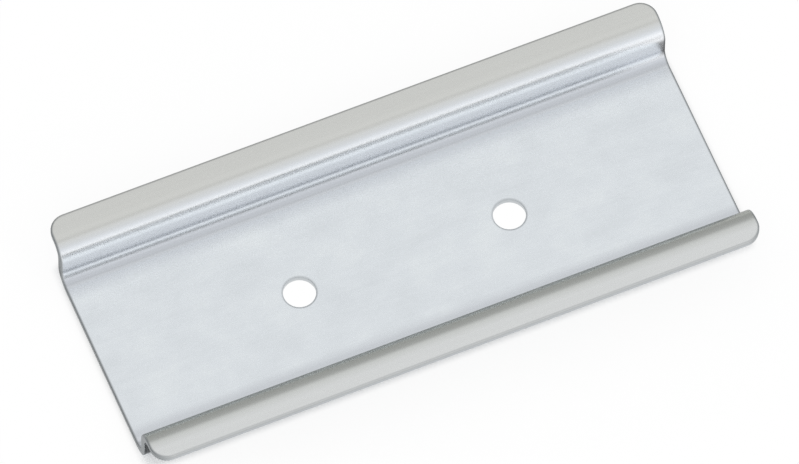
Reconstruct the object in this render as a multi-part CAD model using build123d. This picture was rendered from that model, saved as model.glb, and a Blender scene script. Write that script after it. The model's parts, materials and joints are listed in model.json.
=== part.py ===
from build123d import *
import os

# A short piece of top-hat mounting rail: one strip of zinc-plated steel, rolled to a channel
# with a flange turned out on each side. All sizes are in millimetres. X runs along the rail,
# Y across it and Z up, with the origin under the middle of the web, which lies on the floor.

# The cross-section.
hat_width = 27.0         # across the outsides of the two walls
flange_overhang = 4.0    # from the outside of a wall out to the slit edge of its flange
rail_height = 7.5        # from the underside of the web to the tops of the flanges
strip_thickness = 1.0
bend_inside_radius = 1.6
rail_width = hat_width + 2 * flange_overhang    # 35 mm, the standard width

# The cut piece.
rail_length = 78.7
edge_radius = 0.12       # tumbled edges, all round the outline of the strip

# The corners of the flanges are rounded as far as their flat part allows, short of the bend.
corner_clearance = 0.2
flange_corner_radius = flange_overhang - bend_inside_radius - corner_clearance

# The fixing holes, on the centreline of the web.
hole_diameter = 4.0
hole_spacing = 27.3
hole_count = 2
punch_roll_over = 0.18   # rounding that the punch leaves round the upper rim of a hole


def strip_section():
    """The bent strip, cut across.

    The lower face of the strip is drawn as one line with an arc at each of its four bends, and
    the upper face is the same line moved up by the thickness. Where the strip turns up, at the
    feet of the walls, the lower face is the outside of the bend, and at their tops the inside.
    """
    half_rail = rail_width / 2
    half_hat = hat_width / 2
    under_flange = rail_height - strip_thickness
    bend_outside_radius = bend_inside_radius + strip_thickness
    lower_face = FilletPolyline(
        (-half_rail, under_flange),
        (-half_hat, under_flange),
        (-half_hat, 0),
        (half_hat, 0),
        (half_hat, under_flange),
        (half_rail, under_flange),
        radius=[bend_inside_radius, bend_outside_radius, bend_outside_radius, bend_inside_radius],
    )
    return make_face(offset(lower_face, strip_thickness, side=Side.LEFT))


def on_outline(edge):
    """Whether an edge lies on the cut outline of the strip, and not along one of its bends."""
    middle = edge.center()
    at_end = abs(middle.X) > rail_length / 2 - flange_corner_radius
    at_side = abs(middle.Y) > rail_width / 2 - edge_radius
    return at_end or at_side


def cut_rail():
    """The section run to the length of the piece, its flange corners and its edges rounded."""
    rail = extrude(Plane.YZ * strip_section(), rail_length / 2, both=True)
    upright_edges = rail.edges().filter_by(Axis.Z)
    flange_corners = upright_edges.group_by(lambda edge: abs(edge.center().Y))[-1]
    rail = fillet(flange_corners, flange_corner_radius)
    outline = (rail.edges() - rail.edges().filter_by(Axis.Z)).filter_by(on_outline)
    return fillet(outline, edge_radius)


def punch_holes(rail):
    """The round holes along the middle of the web, punched from above."""
    hole = Cylinder(hole_diameter / 2, strip_thickness, align=(Align.CENTER, Align.CENTER, Align.MIN))
    rail -= GridLocations(hole_spacing, hole_spacing, hole_count, 1) * hole
    upper_rims = rail.edges().filter_by(GeomType.CIRCLE).filter_by_position(
        Axis.Z, strip_thickness, strip_thickness)
    return fillet(upper_rims, punch_roll_over)


os.makedirs("parts", exist_ok=True)
rail = punch_holes(cut_rail())
export_step(rail, "parts/rail.step")
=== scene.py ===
import json
import bpy
import numpy as np
from mathutils import Matrix, Vector


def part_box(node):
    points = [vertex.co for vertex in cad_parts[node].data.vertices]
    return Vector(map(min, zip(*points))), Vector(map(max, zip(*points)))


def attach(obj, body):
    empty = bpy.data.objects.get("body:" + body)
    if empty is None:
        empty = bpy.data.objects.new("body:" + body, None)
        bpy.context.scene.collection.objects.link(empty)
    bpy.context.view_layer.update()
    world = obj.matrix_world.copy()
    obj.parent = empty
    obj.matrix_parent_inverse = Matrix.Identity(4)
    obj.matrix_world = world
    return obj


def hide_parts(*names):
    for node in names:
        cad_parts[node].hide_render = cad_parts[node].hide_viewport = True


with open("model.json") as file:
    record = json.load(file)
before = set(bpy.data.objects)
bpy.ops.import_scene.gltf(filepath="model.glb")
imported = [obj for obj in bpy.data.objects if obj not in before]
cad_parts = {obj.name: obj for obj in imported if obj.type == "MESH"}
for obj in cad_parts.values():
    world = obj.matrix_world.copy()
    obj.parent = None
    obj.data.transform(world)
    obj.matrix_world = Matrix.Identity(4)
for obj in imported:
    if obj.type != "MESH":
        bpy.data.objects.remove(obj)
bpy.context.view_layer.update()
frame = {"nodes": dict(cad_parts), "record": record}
print("frame loaded:", sorted(frame["nodes"]))

scene = bpy.context.scene
scene.view_settings.view_transform = "Standard"
millimetre = 0.001


def linearColour(hexColour):
    # sRGB hex to linear: the standard curve, a straight piece near black and a 2.4 power above
    code = hexColour.lstrip("#")
    shown = np.array([int(code[i:i + 2], 16) for i in (0, 2, 4)]) / 255
    linear = np.where(shown <= 0.04045, shown / 12.92, ((shown + 0.055) / 1.055) ** 2.4)
    return (*linear.tolist(), 1.0)


def addNode(tree, kind, inputs=None, settings=None, stops=None):
    # inputs give each socket, by name or number, a link or a value; settings are the node's own
    # properties, and stops a colour ramp's positions and colours in rising order
    node = tree.nodes.new(kind)
    for name, value in (settings or {}).items():
        setattr(node, name, value)
    for name, value in (inputs or {}).items():
        if isinstance(value, bpy.types.NodeSocket):
            tree.links.new(value, node.inputs[name])
        else:
            node.inputs[name].default_value = value
    for number, (position, colour) in enumerate(stops or []):
        elements = node.color_ramp.elements
        element = elements[number] if number < 2 else elements.new(position)
        element.position = position
        element.color = colour
    return node


def addMaterial(name):
    # a material with no node in it yet, and its tree
    material = bpy.data.materials.new(name)
    material.use_nodes = True
    material.node_tree.nodes.clear()
    return material, material.node_tree


def addObject(name, data):
    added = bpy.data.objects.new(name, data)
    scene.collection.objects.link(added)
    return added


# Camera, at the photograph's angle
viewpoint = {
    "azimuth": -23.7,           # degrees, 0 looks along +Y
    "elevation": 62.8,
    "roll": 1.0,
    "distance": 2.0,            # metres, far enough that the perspective is as weak as in the photograph
    "pixelsPerMillimetre": 8.337,
    "originPixel": (404.5, 256.75),    # where the middle of the web's underside shows
    "imageSize": (799, 464),
    "sensor": 36.0,
    "clip": (0.05, 20.0),       # metres
}


def makeCamera(v):
    # The camera stands back from the origin in the direction that its two angles give, and aside by as
    # much as brings the origin to its pixel. The roll turns its right and its up about that direction,
    # and the focal length gives a millimetre at the origin its number of pixels.
    azimuth, elevation = np.radians(v["azimuth"]), np.radians(v["elevation"])
    back = Vector((np.sin(azimuth) * np.cos(elevation), -np.cos(azimuth) * np.cos(elevation),
                   np.sin(elevation)))
    level = Vector((np.cos(azimuth), np.sin(azimuth), 0.0))
    upright = back.cross(level)
    roll = np.radians(v["roll"])
    right = level * np.cos(roll) + upright * np.sin(roll)
    up = upright * np.cos(roll) - level * np.sin(roll)
    width, height = v["imageSize"]
    perPixel = millimetre / v["pixelsPerMillimetre"]
    toRight = (width / 2 - v["originPixel"][0]) * perPixel
    toTop = (v["originPixel"][1] - height / 2) * perPixel
    data = bpy.data.cameras.new("camera")
    data.sensor_width = v["sensor"]
    data.lens = v["sensor"] * v["distance"] / (width * perPixel)
    data.clip_start, data.clip_end = v["clip"]
    camera = addObject("camera", data)
    camera.location = right * toRight + up * toTop + back * v["distance"]
    camera.rotation_mode = "QUATERNION"
    camera.rotation_quaternion = Matrix((right, up, back)).transposed().to_quaternion()
    scene.camera = camera


makeCamera(viewpoint)
print("camera set")


# The rail's strip. Sizes are in millimetres; length, width, height and holes come from the frame.
railLow, railHigh = (np.array(corner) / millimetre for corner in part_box("rail"))
fixingHoles = next(m for m in frame["record"]["mounts"] if m["name"] == "fixing_holes")["dims"]

railStrip = {
    "length": railHigh[0] - railLow[0],
    "width": railHigh[1] - railLow[1],
    "height": railHigh[2] - railLow[2],
    "overWalls": 27.0,
    "thickness": 1.0,
    "bendInside": 1.6,
    "flangeCorner": 2.2,
    "holeRadius": fixingHoles["hole_r_mm"],
    "holeSpacing": fixingHoles["spacing_x_mm"],
    "cutEdge": {
        "drawnWidth": 0.31,     # the upper edge is drawn down where the shear went in
        "drawnDepth": 0.16,
        "burnished": 0.42,      # share of the thickness that is cut clean
        "fractureDepth": 0.035,    # the torn part below leans in by this much
        "lowerRadius": 0.07,
        "roughness": 0.012,
        "faces": (7, 3, 6, 4),  # down the drawn edge, the clean band, the torn band and the lower round
    },
    "holeEdge": {
        "drawnWidth": 0.28,
        "drawnDepth": 0.12,
        "burnished": 0.40,
        "fractureDepth": 0.06,
        "lowerRadius": 0.06,
        "roughness": 0.012,
        "faces": (7, 3, 6, 4),
    },
    "slitBare": 0.48,           # how bare a slit edge looks, where an end, cut after plating, is 1
    "boreBare": 0.42,
    "bareFade": (3.5, 3.0),     # faces down an edge over which the bare look comes in and goes
    "holePatch": 4.0,           # half side of the square of mesh round a hole
    # how many faces the stretches of the mesh have, and how much they crowd towards an end or a rim,
    # where 1 spreads them evenly
    "faces": {
        "patch": 20,            # along a side of the square round a hole
        "web": 8,               # from there to the bend
        "bend": 22,
        "wall": 8,
        "flange": 3,
        "corner": 10,
        "betweenHoles": 12,     # from the middle to the square round a hole
        "beyondHole": 26,
        "endCrowding": 1.7,
        "rim": 11,              # from a hole to its square
        "rimCrowding": 1.6,
    },
    "weldGap": 0.0002,          # points of two borders that are closer than this become one
    "seed": 7,
}


def stripStations(strip):
    # Where the stretches of the strip's middle line end, walked outwards from the centre of the web. A
    # turn is its radius times a quarter circle long, and a straight stretch what the turns leave of it.
    turnRadius = strip["bendInside"] + strip["thickness"] / 2
    quarter = turnRadius * np.pi / 2
    webEnd = strip["overWalls"] / 2 - strip["bendInside"] - strip["thickness"]
    footEnd = webEnd + quarter
    wallEnd = footEnd + strip["height"] - strip["thickness"] - 2 * turnRadius
    flangeStart = wallEnd + quarter
    slitEdge = flangeStart + strip["width"] / 2 - webEnd - 2 * turnRadius
    return {"turnRadius": turnRadius, "webEnd": webEnd, "footEnd": footEnd, "wallEnd": wallEnd,
            "flangeStart": flangeStart, "slitEdge": slitEdge}


def bentPlace(strip, along, across, lift):
    # A place lies lift off the strip's middle line, along its normal. The line runs web, quarter turn up,
    # wall, quarter turn out, flange. Each stretch adds its own run, a straight one its length and a turn
    # its radius times sine or one less cosine.
    at = stripStations(strip)
    turnRadius = at["turnRadius"]
    walked = np.abs(across)
    footTurn = np.clip((walked - at["webEnd"]) / turnRadius, 0, np.pi / 2)
    topTurn = np.clip((walked - at["wallEnd"]) / turnRadius, 0, np.pi / 2)
    wall = np.clip(walked - at["footEnd"], 0, at["wallEnd"] - at["footEnd"])
    flange = np.maximum(walked - at["flangeStart"], 0)
    out = np.minimum(walked, at["webEnd"]) + turnRadius * (np.sin(footTurn) + 1 - np.cos(topTurn)) + flange
    up = strip["thickness"] / 2 + turnRadius * (1 - np.cos(footTurn) + np.sin(topTurn)) + wall
    turn = footTurn - topTurn
    out = out - lift * np.sin(turn)
    up = up + lift * np.cos(turn)
    return np.stack(np.broadcast_arrays(along, np.where(across < 0, -out, out), up), axis=-1)


def quarterLines(strip):
    # The mesh lines of one quarter of the flat blank, from its centre out as far as the flange corner and
    # the end: even steps in the hole's square and in each stretch, closer steps towards the end.
    at = stripStations(strip)
    square, count = strip["holePatch"], strip["faces"]
    stops = [0, square, at["webEnd"], at["footEnd"], at["wallEnd"], at["flangeStart"],
             at["slitEdge"] - strip["flangeCorner"]]
    counts = [count["patch"] // 2] + [count[name] for name in ("web", "bend", "wall", "bend", "flange")]
    stretches = [np.linspace(a, b, n + 1)[1:] for a, b, n in zip(stops, stops[1:], counts)]
    across = np.concatenate([[0]] + stretches)
    inner = strip["holeSpacing"] / 2 - square
    outer = strip["holeSpacing"] / 2 + square
    towardsEnd = 1 - (1 - np.linspace(0, 1, count["beyondHole"] + 1)[1:]) ** count["endCrowding"]
    along = np.concatenate([
        np.linspace(0, inner, count["betweenHoles"] + 1),
        np.linspace(inner, outer, count["patch"] + 1)[1:],
        outer + (strip["length"] / 2 - outer) * towardsEnd])
    return along, across


def blankGrid(strip, inset):
    # The flat blank, drawn in from its outline by inset. Lines across the blank stay put as far as the
    # holes' squares and stretch beyond them to the end; past the corner's centre the end follows its arc.
    alongHalf, acrossHalf = quarterLines(strip)
    halfWidth, half = stripStations(strip)["slitEdge"], strip["length"] / 2
    corner = strip["flangeCorner"]
    fixedPart = strip["holeSpacing"] / 2 + strip["holePatch"]
    angle = np.linspace(0, np.pi / 2, strip["faces"]["corner"] + 1)[1:]
    acrossHalf = np.concatenate([acrossHalf, halfWidth - corner + (corner - inset) * np.sin(angle)])
    reach = np.full(len(acrossHalf), half - inset)
    reach[-len(angle):] = half - corner + (corner - inset) * np.cos(angle)
    across = np.concatenate([-acrossHalf[:0:-1], acrossHalf])
    reach = np.concatenate([reach[:0:-1], reach])
    along = np.concatenate([-alongHalf[:0:-1], alongHalf])
    beyond = np.maximum(np.abs(along) - fixedPart, 0) / (half - fixedPart)
    kept = np.minimum(np.abs(along), fixedPart)
    grid = np.sign(along)[:, None] * (kept[:, None] + beyond[:, None] * (reach[None, :] - fixedPart))
    return grid, np.broadcast_to(across, grid.shape)


def outlineLoop(grid):
    # The grid's border, once round: up one side, along the end, back and home
    return np.concatenate([grid[:-1, 0], grid[-1, :-1], grid[:0:-1, -1], grid[0, :0:-1]])


def gridFaces(rows, columns, closed):
    # Quads between neighbouring rows and columns of a grid of points numbered row by row. The last
    # column of a closed grid has the first one for its neighbour.
    quadColumns = columns if closed else columns - 1
    row, column = np.meshgrid(np.arange(rows - 1), np.arange(quadColumns), indexing="ij")
    after = (column + 1) % columns
    quads = np.stack([row * columns + column, row * columns + after,
                      (row + 1) * columns + after, (row + 1) * columns + column], axis=-1)
    return quads.reshape(-1, 4)


def edgeProfile(thickness, edge):
    # From the upper face down to the lower: a quarter ellipse where the edge was drawn down, a clean
    # straight band, a torn band leaning in, a small round. Gives how far in, the lift and how torn.
    drawnFaces, cleanFaces, tornFaces, roundFaces = edge["faces"]
    upper = thickness / 2
    cleanEnd = upper - edge["drawnDepth"] - edge["burnished"] * thickness
    tornEnd = -upper + edge["lowerRadius"]
    drawn = np.linspace(0, np.pi / 2, drawnFaces + 1)
    drawnIn = edge["drawnWidth"] * (1 - np.sin(drawn))
    drawnLift = upper - edge["drawnDepth"] * (1 - np.cos(drawn))
    cleanLift = np.linspace(drawnLift[-1], cleanEnd, cleanFaces + 1)[1:]
    tornLift = np.linspace(cleanEnd, tornEnd, tornFaces + 1)[1:]
    torn = (cleanEnd - tornLift) / (cleanEnd - tornEnd)
    turned = np.linspace(0, np.pi / 2, roundFaces + 1)[1:]
    lowerIn = edge["fractureDepth"] + edge["lowerRadius"] * (1 - np.cos(turned))
    lowerLift = tornEnd - edge["lowerRadius"] * np.sin(turned)
    inset = np.concatenate([drawnIn, np.zeros(cleanFaces), edge["fractureDepth"] * torn, lowerIn])
    lift = np.concatenate([drawnLift, cleanLift, tornLift, lowerLift])
    tornShare = np.concatenate([
        np.zeros(len(drawn) + cleanFaces), np.sqrt(np.sin(np.pi * torn)), np.zeros(roundFaces)])
    return inset[:, None], lift[:, None], tornShare[:, None]


def bareShare(strip, points):
    # 1 on the cut itself, falling evenly to 0 over the first points, which were drawn down with their
    # plating, and over the last
    number = np.arange(points)[:, None]
    comingIn, going = strip["bareFade"]
    return np.clip(np.minimum(number / comingIn, (points - 1 - number) / going), 0, 1)


def makeSheet(along, across, lift, bare, closed=False, turnedOver=False, keep=None):
    # A grid of points of the flat blank, each its place along, across and up and how bare it is, and the
    # quads between them. Where keep is given, it picks them by their middles.
    values = [np.broadcast_to(value, along.shape).reshape(-1) for value in (along, across, lift, bare)]
    points = np.stack(values, axis=1)
    quads = gridFaces(*along.shape, closed)
    if keep is not None:
        middles = points[quads].mean(axis=1)
        quads = quads[keep(middles[:, 0], middles[:, 1])]
    return points, quads[:, ::-1] if turnedOver else quads


def faceSheets(strip):
    # The upper and the lower face, drawn in to where the sheared edge starts and ends, without the
    # squares round the holes
    half, square = strip["holeSpacing"] / 2, strip["holePatch"]

    def outsideSquares(x, y):
        return (np.abs(np.abs(x) - half) >= square) | (np.abs(y) >= square)

    inset = edgeProfile(strip["thickness"], strip["cutEdge"])[0]
    for side, atFace in ((1, inset[0, 0]), (-1, inset[-1, 0])):
        along, across = blankGrid(strip, atFace)
        yield makeSheet(along, across, side * strip["thickness"] / 2, 0.0,
                        turnedOver=side > 0, keep=outsideSquares)


def outlineSheet(strip, rng):
    # The sheared outline: each border point moves in by its inset, towards its place on a grid drawn in
    # by 1 mm, and where it is torn by a random bit more. It looks barer at the ends than along the slits.
    inset, lift, torn = edgeProfile(strip["thickness"], strip["cutEdge"])
    border = np.stack([outlineLoop(v) for v in blankGrid(strip, 0.0)])
    inwards = np.stack([outlineLoop(v) for v in blankGrid(strip, 1.0)]) - border
    inset = inset + torn * rng.random(border.shape[1]) * strip["cutEdge"]["roughness"]
    atEnd = np.clip((np.abs(border[0]) - strip["length"] / 2) / strip["flangeCorner"] + 1, 0, 1)
    bare = strip["slitBare"] + (1 - strip["slitBare"]) * atEnd
    return makeSheet(border[0] + inwards[0] * inset, border[1] + inwards[1] * inset, lift,
                     bareShare(strip, len(lift)) * bare, closed=True, turnedOver=True)


def holeSheets(strip, centre, rng):
    # On both faces a sheet that blends from the hole's circle to its square, outwards from each point of
    # the one to the point of the other in the same direction, and then the bore between the two circles
    inset, lift, torn = edgeProfile(strip["thickness"], strip["holeEdge"])
    square, count = strip["holePatch"], strip["faces"]
    rising = np.linspace(-square, square, count["patch"] + 1)[:-1]
    level = np.full_like(rising, square)
    squareX = np.concatenate([rising, level, -rising, -level])
    squareY = np.concatenate([-level, rising, level, -rising])
    around = np.arctan2(squareY, squareX)
    spread = np.linspace(0, 1, count["rim"] + 1)[:, None] ** count["rimCrowding"]
    for side, atFace in ((1, inset[0, 0]), (-1, inset[-1, 0])):
        radius = strip["holeRadius"] + atFace
        along = centre + (1 - spread) * radius * np.cos(around) + spread * squareX
        across = (1 - spread) * radius * np.sin(around) + spread * squareY
        yield makeSheet(along, across, side * strip["thickness"] / 2, 0.0, closed=True, turnedOver=side > 0)
    radius = strip["holeRadius"] + inset + torn * rng.random(len(around)) * strip["holeEdge"]["roughness"]
    yield makeSheet(centre + radius * np.cos(around), radius * np.sin(around), lift,
                    bareShare(strip, len(lift)) * strip["boreBare"], closed=True)


def buildStrip(strip):
    # All sheets of the flat blank, whose borders lie point on point, numbered on and bent together
    rng = np.random.default_rng(strip["seed"])
    sheets = [*faceSheets(strip), outlineSheet(strip, rng)]
    for centre in (-strip["holeSpacing"] / 2, strip["holeSpacing"] / 2):
        sheets += holeSheets(strip, centre, rng)
    starts = np.cumsum([0] + [len(points) for points, quads in sheets])
    flat = np.concatenate([points for points, quads in sheets])
    faces = np.concatenate([quads + start for (points, quads), start in zip(sheets, starts)])
    return bentPlace(strip, flat[:, 0], flat[:, 1], flat[:, 2]) * millimetre, faces, flat


def meshPiece(name, places, faces, flat, weldGap):
    # The points and faces as one object, border points joined, with each point's place in the flat blank
    # and how bare it is kept in two attributes for the material.
    mesh = bpy.data.meshes.new(name)
    mesh.from_pydata(places.tolist(), [], faces.tolist())
    mesh.attributes.new("blank", "FLOAT_VECTOR", "POINT").data.foreach_set("vector", flat[:, :3].ravel())
    mesh.attributes.new("cut", "FLOAT", "POINT").data.foreach_set("value", flat[:, 3].copy())
    piece = addObject(name, mesh)
    weld = piece.modifiers.new("weld", "WELD")
    weld.merge_threshold = weldGap * millimetre
    bpy.context.view_layer.update()
    joined = bpy.data.meshes.new_from_object(piece.evaluated_get(bpy.context.evaluated_depsgraph_get()))
    piece.modifiers.clear()
    piece.data = joined
    bpy.data.meshes.remove(mesh)
    joined.name = name
    joined.shade_smooth()
    return piece


rail = meshPiece("rolled_rail", *buildStrip(railStrip), railStrip["weldGap"])
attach(rail, "root")
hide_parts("rail")
print("rail made:", len(rail.data.vertices), "points,", len(rail.data.polygons), "faces")


# Steel strip with bright zinc plate under a clear blue passivate, rolled and then sheared. To the eye: a
# pale satin silver, cool on the web, with faint clouds, fine lines along the rolling and duller cut edges.
# Light and shade are painted into the colour across the upper face: a painted highlight on the outside of
# each bend, painted shade in the inside corners at the walls' feet and as a dark band along the near top
# bend, and flanges painted darker and warmer than the web, the far one darker than the near.
zincPlate = {
    "dull": "#D9DEE2",
    "plain": "#DDE2E6",
    "pale": "#E1E6E9",
    "cloudSize": 5.0,           # mm
    "cloudAlong": 0.7,          # under 1 makes the clouds longer along the rolling
    "cloudDetail": 4.0,
    "cloudRoughness": 0.65,
    "cloudStops": (0.34, 0.52, 0.68),    # the noise's values for dull, plain and pale
    # the far slit edge, far flange and far bend tones are painted shade, which makes the far side darker
    # than the near
    "farEdgeShade": "#CCCDCA",       # painted light and shade across the strip, from one slit edge to the other
    "farFlangeShade": "#CDCECB",
    "farBendShade": "#C6CACF",
    "bendHighlight": "#F8FAFD",         # a painted highlight on the outside of each bend, and painted shade in the inside corners
    # the next two tones, in the inside corners at the walls' feet, are painted shade
    "recessShade": "#C9CDD2",
    "corner": "#BABEC4",
    # the next two tones are a dark band of painted shade along the near top bend
    "nearRidgeShade": "#999C97",
    "nearBendShade": "#B5B8B3",
    # the near flange's tone is painted shade too, lighter than the far flange's
    "nearFlangeShade": "#D5D7D7",
    # where each painted tone of light and shade lies: the station it is counted from, mm outwards from
    # there, the tone and its share over the clouds, from the near slit edge in to the web and then out to
    # the far one
    "nearPaintedShading": [("slitEdge", 0.0, "nearFlangeShade", 1.0), ("flangeStart", 0.8, "nearFlangeShade", 1.0),
                  ("flangeStart", -1.15, "nearBendShade", 1.0), ("flangeStart", -1.98, "nearRidgeShade", 1.0),
                  ("wallEnd", 0.0, "nearRidgeShade", 1.0), ("footEnd", 0.0, "bendHighlight", 1.0),
                  ("webEnd", -0.7, "recessShade", 1.0), ("webEnd", -2.0, "recessShade", 0.0)],
    "farPaintedShading": [("webEnd", -1.8, "recessShade", 0.0), ("webEnd", 0.4, "recessShade", 1.0),
                 ("webEnd", 1.02, "corner", 1.0), ("webEnd", 1.81, "corner", 1.0),
                 ("webEnd", 2.57, "bendHighlight", 1.0), ("wallEnd", 0.92, "bendHighlight", 1.0),
                 ("wallEnd", 1.65, "farBendShade", 1.0), ("wallEnd", 2.64, "farFlangeShade", 1.0),
                 ("slitEdge", -2.0, "farFlangeShade", 1.0), ("slitEdge", -0.9, "farEdgeShade", 1.0)],
    "shadingLift": (-0.1, 0.3),    # mm up from the middle of the thickness, over which the painted light and shade come in, so that the upper face alone has them
    "cutFace": "#8B8F91",
    "cutRoughness": 0.42,
    "roughness": 0.28,
    "roughnessSpread": 0.05,
    "unevenness": (0.6, 1.4),   # the lines' and the grain's noise added up, from its low to its high
    "lineSpacing": 0.35,        # mm, wider than the real 0.05 so that it shows
    "lineLength": 22.0,
    "grainSize": 0.22,          # mm, plating grain, also drawn coarse
    "tearsPerMillimetre": (9.0, 9.0, 1.2),    # the cut's scores, which run down through the thickness
    "reliefStrength": 0.1,
    "reliefHeight": 0.04,       # mm
}


def zincPlatedSteel(z, strip):
    # Clouds by noise in the flat blank, over them painted light and shade by the distance across it, on the
    # upper face only, over those the cut faces by the cut attribute. Lines and grain are noises drawn long
    # and short, added up for the roughness and the relief.
    material, tree = addMaterial("zinc_plated_rolled_steel")
    place = addNode(tree, "ShaderNodeAttribute", settings={"attribute_name": "blank"}).outputs["Vector"]
    cut = addNode(tree, "ShaderNodeAttribute", settings={"attribute_name": "cut"}).outputs["Fac"]

    cloudPlace = addNode(tree, "ShaderNodeMapping", {"Vector": place, "Scale": (z["cloudAlong"], 1.0, 1.0)})
    clouds = addNode(tree, "ShaderNodeTexNoise", {
        "Vector": cloudPlace.outputs[0], "Scale": 1 / z["cloudSize"], "Detail": z["cloudDetail"],
        "Roughness": z["cloudRoughness"]})
    cloudTones = [linearColour(z[name]) for name in ("dull", "plain", "pale")]
    tint = addNode(tree, "ShaderNodeValToRGB", {"Fac": clouds.outputs["Fac"]},
                   stops=zip(z["cloudStops"], cloudTones))

    # the painted light and shade lie on a ramp from the near slit edge at 0 to the far one at 1
    at = stripStations(strip)
    halfWidth = at["slitEdge"]
    shadingStops, shadingShareStops = [], []
    for side, tones in ((-1, z["nearPaintedShading"]), (1, z["farPaintedShading"])):
        for station, outwards, tone, share in tones:
            position = (1 + side * (at[station] + outwards) / halfWidth) / 2
            shadingStops.append((position, linearColour(z[tone])))
            shadingShareStops.append((position, (share, share, share, 1.0)))
    apart = addNode(tree, "ShaderNodeSeparateXYZ", {"Vector": place})
    across = addNode(tree, "ShaderNodeMapRange", {
        "Value": apart.outputs["Y"], "From Min": -halfWidth, "From Max": halfWidth})
    paintedShading = addNode(tree, "ShaderNodeValToRGB", {"Fac": across.outputs[0]}, stops=shadingStops)
    paintedShadingShare = addNode(tree, "ShaderNodeValToRGB", {"Fac": across.outputs[0]}, stops=shadingShareStops)
    # the painted light and shade come in only on the upper face
    onUpperFace = addNode(tree, "ShaderNodeMapRange", {
        "Value": apart.outputs["Z"], "From Min": z["shadingLift"][0], "From Max": z["shadingLift"][1]})
    shown = addNode(tree, "ShaderNodeMath", {0: paintedShadingShare.outputs["Color"], 1: onUpperFace.outputs[0]},
                    {"operation": "MULTIPLY"})
    cloudsAndPaintedShading = addNode(tree, "ShaderNodeMix", {
        0: shown.outputs[0], 6: tint.outputs["Color"], 7: paintedShading.outputs["Color"]},
        {"data_type": "RGBA"})
    colour = addNode(tree, "ShaderNodeMix", {
        0: cut, 6: cloudsAndPaintedShading.outputs[2], 7: linearColour(z["cutFace"])}, {"data_type": "RGBA"})

    lineScale = (1 / z["lineLength"], 1 / z["lineSpacing"], 1 / z["lineSpacing"])
    linePlace = addNode(tree, "ShaderNodeMapping", {"Vector": place, "Scale": lineScale})
    lines = addNode(tree, "ShaderNodeTexNoise", {
        "Vector": linePlace.outputs[0], "Scale": 1.0, "Detail": 2.0})
    grain = addNode(tree, "ShaderNodeTexNoise", {
        "Vector": place, "Scale": 1 / z["grainSize"], "Detail": 1.0})
    uneven = addNode(tree, "ShaderNodeMath", {0: lines.outputs["Fac"], 1: grain.outputs["Fac"]},
                     {"operation": "ADD"})
    rolledRough = addNode(tree, "ShaderNodeMapRange", {
        "Value": uneven.outputs[0], "From Min": z["unevenness"][0], "From Max": z["unevenness"][1],
        "To Min": z["roughness"] - z["roughnessSpread"], "To Max": z["roughness"] + z["roughnessSpread"]})
    rough = addNode(tree, "ShaderNodeMix", {0: cut, 2: rolledRough.outputs[0], 3: z["cutRoughness"]},
                    {"data_type": "FLOAT"})

    tearPlace = addNode(tree, "ShaderNodeMapping", {"Vector": place, "Scale": z["tearsPerMillimetre"]})
    tear = addNode(tree, "ShaderNodeTexNoise", {"Vector": tearPlace.outputs[0], "Scale": 1.0, "Detail": 2.0})
    relief = addNode(tree, "ShaderNodeMix", {0: cut, 2: uneven.outputs[0], 3: tear.outputs["Fac"]},
                     {"data_type": "FLOAT"})
    bump = addNode(tree, "ShaderNodeBump", {
        "Height": relief.outputs[0], "Strength": z["reliefStrength"],
        "Distance": z["reliefHeight"] * millimetre})
    shader = addNode(tree, "ShaderNodeBsdfPrincipled", {
        "Base Color": colour.outputs[2], "Roughness": rough.outputs[0], "Normal": bump.outputs[0],
        "Metallic": 1.0})
    addNode(tree, "ShaderNodeOutputMaterial", {"Surface": shader.outputs[0]})
    return material


rail.data.materials.clear()
rail.data.materials.append(zincPlatedSteel(zincPlate, railStrip))
print("zinc plate made")


# Studio: a white floor, white surroundings, a soft light, a tent for the metal to reflect, and dark cards
# that paint the floor's shadow into its reflections
halfLength = railStrip["length"] / 2
halfWalls = railStrip["overWalls"] / 2
halfRail = railStrip["width"] / 2

studio = {
    "floorColour": "#FAFAFA",
    "floorHalf": 6.0,           # metres
    "floorGap": 0.02,           # mm below the rail
    "floorGlow": 0.88,          # share of the floor that shows plain white, the rest takes the shadow
    "shadowReach": (halfLength - 0.65, halfWalls + 0.5),    # mm out, as far as the shadow stays whole
    "shadowFade": 1.5,          # mm from there to where it is gone
    "holeClear": 6.0,           # mm from the middle of a hole, where the floor shows white
    "fill": 0.95,               # how much the surroundings light the floor
    "keyPower": 4.0,
    "keySize": 1.0,
    "keyPlace": (-0.45, -0.9, 1.3),
    "tentRadius": 1.5,
    "tentHalf": 3.0,
    "tentFacets": 90,
    # the tent's brightness by angle over the rail, from the front horizon at 0 to the back one at 180
    "tentBands": [(0, 1.31), (30, 1.31), (40, 1.1), (50, 1.08), (66, 1.08), (76, 0.85), (82, 0.85),
                  (90, 1.0), (122, 1.0), (134, 0.62), (180, 0.62)],
    "tentEnd": 0.2,             # brightness of its closed left end, the right one is open
    # cards flat on the floor that paint shadow into the reflections, a pair beyond the right end and a pair
    # under the flanges, which only reflections see. Reaches are in mm. The tones are at the inner and the
    # outer edge, black below 0.
    "endShadowCard": {
        "along": (halfLength + 0.15, halfLength + 6.65),
        "across": (4.0, halfWalls + 0.1),
        "tones": (1.0, -0.15),
    },
    "flangeShadowCard": {
        "along": (-halfLength - 0.95, halfLength + 0.95),
        "across": (halfWalls - 0.1, halfRail - 0.1),
        "tones": (0.22, -0.12),
    },
}


def seenShare(tree):
    # 1 for a ray that the camera, a gloss or glass sends, 0 for one that lights
    rays = addNode(tree, "ShaderNodeLightPath")
    total = rays.outputs["Is Camera Ray"]
    for name in ("Is Glossy Ray", "Is Transmission Ray"):
        total = addNode(tree, "ShaderNodeMath", {0: total, 1: rays.outputs[name]},
                        {"operation": "MAXIMUM"}).outputs[0]
    return total


def onlyReflected(piece):
    piece.visible_camera = piece.visible_diffuse = piece.visible_shadow = piece.visible_transmission = False


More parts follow.
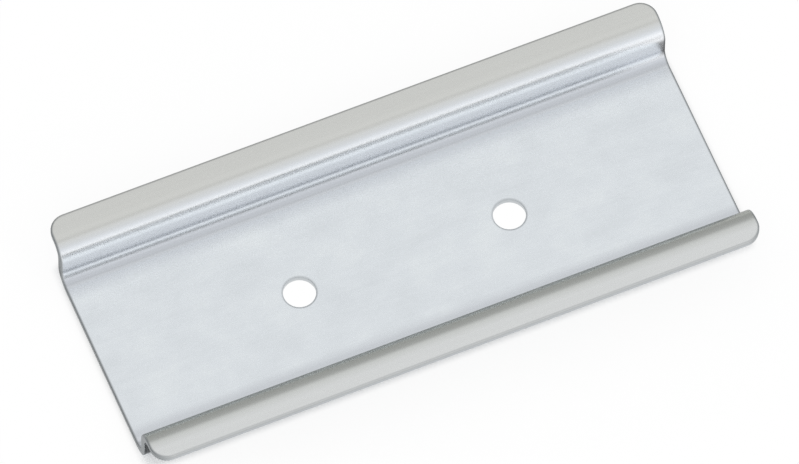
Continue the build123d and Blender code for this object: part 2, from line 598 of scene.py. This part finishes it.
def makeSurroundings(s):
    # white all round as the camera and the metal see it, a little dimmer as it lights the floor
    world = bpy.data.worlds.new("surroundings")
    scene.world = world
    world.use_nodes = True
    tree = world.node_tree
    tree.nodes.clear()
    white = (1.0, 1.0, 1.0, 1.0)
    lighting = addNode(tree, "ShaderNodeBackground", {"Color": white, "Strength": s["fill"]})
    shown = addNode(tree, "ShaderNodeBackground", {"Color": white, "Strength": 1.0})
    mix = addNode(tree, "ShaderNodeMixShader", {
        0: seenShare(tree), 1: lighting.outputs[0], 2: shown.outputs[0]})
    addNode(tree, "ShaderNodeOutputWorld", {"Surface": mix.outputs[0]})


def paperFloor(s, strip):
    # Matt paper that takes the rail's shadow, and glows white where the shadow has faded. It is whole on
    # an oblong and fades with the distance out from it, which is the length of what a place's distances
    # from the middle, along and across, have beyond the oblong's. Under the holes the floor glows too.
    material, tree = addMaterial("white_paper_floor")
    place = addNode(tree, "ShaderNodeTexCoord").outputs["Object"]
    oneCorner = addNode(tree, "ShaderNodeVectorMath", {0: place}, {"operation": "ABSOLUTE"}).outputs[0]
    reach = [part * millimetre for part in (*s["shadowReach"], 0.0)]
    beyond = addNode(tree, "ShaderNodeVectorMath", {0: oneCorner, 1: reach}, {"operation": "SUBTRACT"})
    outside = addNode(tree, "ShaderNodeVectorMath", {0: beyond.outputs[0], 1: (0.0, 0.0, 0.0)},
                      {"operation": "MAXIMUM"})
    away = addNode(tree, "ShaderNodeVectorMath", {0: outside.outputs[0]}, {"operation": "LENGTH"})
    faded = addNode(tree, "ShaderNodeMapRange", {
        "Value": away.outputs["Value"], "From Min": 0.0, "From Max": s["shadowFade"] * millimetre,
        "To Min": 0.0, "To Max": s["floorGlow"]}, {"interpolation_type": "SMOOTHSTEP"})
    hole = (strip["holeSpacing"] / 2 * millimetre, 0.0, 0.0)
    fromHole = addNode(tree, "ShaderNodeVectorMath", {0: oneCorner, 1: hole}, {"operation": "DISTANCE"})
    underHole = addNode(tree, "ShaderNodeMath", {
        0: fromHole.outputs["Value"], 1: s["holeClear"] * millimetre}, {"operation": "LESS_THAN"})
    clear = addNode(tree, "ShaderNodeMath", {0: faded.outputs[0], 1: underHole.outputs[0]},
                    {"operation": "MAXIMUM"})
    glowing = addNode(tree, "ShaderNodeMath", {0: seenShare(tree), 1: clear.outputs[0]},
                      {"operation": "MULTIPLY"})
    matt = addNode(tree, "ShaderNodeBsdfDiffuse", {"Color": linearColour(s["floorColour"])})
    glow = addNode(tree, "ShaderNodeEmission", {"Strength": 1.0})
    mix = addNode(tree, "ShaderNodeMixShader", {
        0: glowing.outputs[0], 1: matt.outputs[0], 2: glow.outputs[0]})
    addNode(tree, "ShaderNodeOutputMaterial", {"Surface": mix.outputs[0]})
    return material


def makeFloor(s, strip):
    # a flat square just under the rail
    half = s["floorHalf"]
    mesh = bpy.data.meshes.new("floor")
    corners = [(-half, -half), (half, -half), (half, half), (-half, half)]
    mesh.from_pydata([(x, y, -s["floorGap"] * millimetre) for x, y in corners], [], [(0, 1, 2, 3)])
    mesh.materials.append(paperFloor(s, strip))
    return addObject("floor", mesh)


def makeKey(s):
    # a square light pointed at the rail, which gives the shadow on the floor and shows in no reflection
    light = bpy.data.lights.new("key", "AREA")
    light.energy, light.size = s["keyPower"], s["keySize"]
    key = addObject("key", light)
    key.location = s["keyPlace"]
    key.rotation_euler = (-Vector(s["keyPlace"])).to_track_quat("-Z", "Y").to_euler()
    key.visible_glossy = False


def makeShadowCard(s, shadowCard, side):
    # a painted shadow that only reflections see: a flat oblong half way down the floor's gap, whose tone
    # runs evenly from its inner edge to its outer one and stops at black
    along, across = shadowCard["along"], [side * part for part in shadowCard["across"]]
    mesh = bpy.data.meshes.new("shadowCard")
    corners = [(along[a], across[b]) for a, b in ((0, 0), (1, 0), (1, 1), (0, 1))]
    lift = -s["floorGap"] / 2 * millimetre
    mesh.from_pydata([(x * millimetre, y * millimetre, lift) for x, y in corners], [], [(0, 1, 2, 3)])
    material, tree = addMaterial("painted_shadow_card")
    place = addNode(tree, "ShaderNodeTexCoord").outputs["Object"]
    apart = addNode(tree, "ShaderNodeSeparateXYZ", {"Vector": place})
    tone = addNode(tree, "ShaderNodeMapRange", {
        "Value": apart.outputs["Y"], "From Min": across[0] * millimetre, "From Max": across[1] * millimetre,
        "To Min": shadowCard["tones"][0], "To Max": shadowCard["tones"][1]})
    lit = addNode(tree, "ShaderNodeMath", {0: tone.outputs[0], 1: 0.0}, {"operation": "MAXIMUM"})
    emission = addNode(tree, "ShaderNodeEmission", {"Strength": lit.outputs[0]})
    addNode(tree, "ShaderNodeOutputMaterial", {"Surface": emission.outputs[0]})
    mesh.materials.append(material)
    made = addObject("shadowCard", mesh)
    onlyReflected(made)
    return made


def tentBands(s):
    # the angle of a place about the rail's axis, as a share of the half circle, picks its brightness
    material, tree = addMaterial("light_tent")
    place = addNode(tree, "ShaderNodeTexCoord").outputs["Object"]
    apart = addNode(tree, "ShaderNodeSeparateXYZ", {"Vector": place})
    front = addNode(tree, "ShaderNodeMath", {0: apart.outputs["Y"], 1: -1.0}, {"operation": "MULTIPLY"})
    turn = addNode(tree, "ShaderNodeMath", {0: apart.outputs["Z"], 1: front.outputs[0]},
                   {"operation": "ARCTAN2"})
    share = addNode(tree, "ShaderNodeMath", {0: turn.outputs[0], 1: np.pi}, {"operation": "DIVIDE"})
    # a ramp's colours end at 1, so it holds the brightness halved and the emission doubles it
    halved = [(degrees / 180, (strength / 2, strength / 2, strength / 2, 1.0))
              for degrees, strength in s["tentBands"]]
    ramp = addNode(tree, "ShaderNodeValToRGB", {"Fac": share.outputs[0]}, stops=halved)
    doubled = addNode(tree, "ShaderNodeEmission", {"Color": ramp.outputs["Color"], "Strength": 2.0})
    addNode(tree, "ShaderNodeOutputMaterial", {"Surface": doubled.outputs[0]})
    return material


def tentEnd(s):
    material, tree = addMaterial("tent_end")
    tone = addNode(tree, "ShaderNodeEmission", {"Strength": s["tentEnd"]})
    addNode(tree, "ShaderNodeOutputMaterial", {"Surface": tone.outputs[0]})
    return material


def makeTent(s):
    # a half tube about the X axis, whose section is a half circle, with a fan that closes its left end
    radius, half = s["tentRadius"], s["tentHalf"]
    angle = np.linspace(0, np.pi, s["tentFacets"] + 1)
    arc = np.stack([-radius * np.cos(angle), radius * np.sin(angle)], axis=1)
    rows = [np.column_stack([np.full(len(arc), x), arc]) for x in (-half, half)]
    points = np.concatenate(rows + [[[-half, 0.0, 0.0]]])
    quads = gridFaces(2, len(arc), False).tolist()
    fan = [(column, column + 1, len(points) - 1) for column in range(len(arc) - 1)]
    mesh = bpy.data.meshes.new("tent")
    mesh.from_pydata(points.tolist(), [], quads + fan)
    mesh.materials.append(tentBands(s))
    mesh.materials.append(tentEnd(s))
    mesh.polygons.foreach_set("material_index", [0] * len(quads) + [1] * len(fan))
    tent = addObject("tent", mesh)
    onlyReflected(tent)
    return tent


makeSurroundings(studio)
floor = makeFloor(studio, railStrip)
makeKey(studio)
tent = makeTent(studio)
shadowCards = [makeShadowCard(studio, studio[name], side) for side in (-1, 1) for name in ("endShadowCard", "flangeShadowCard")]
print("studio made")
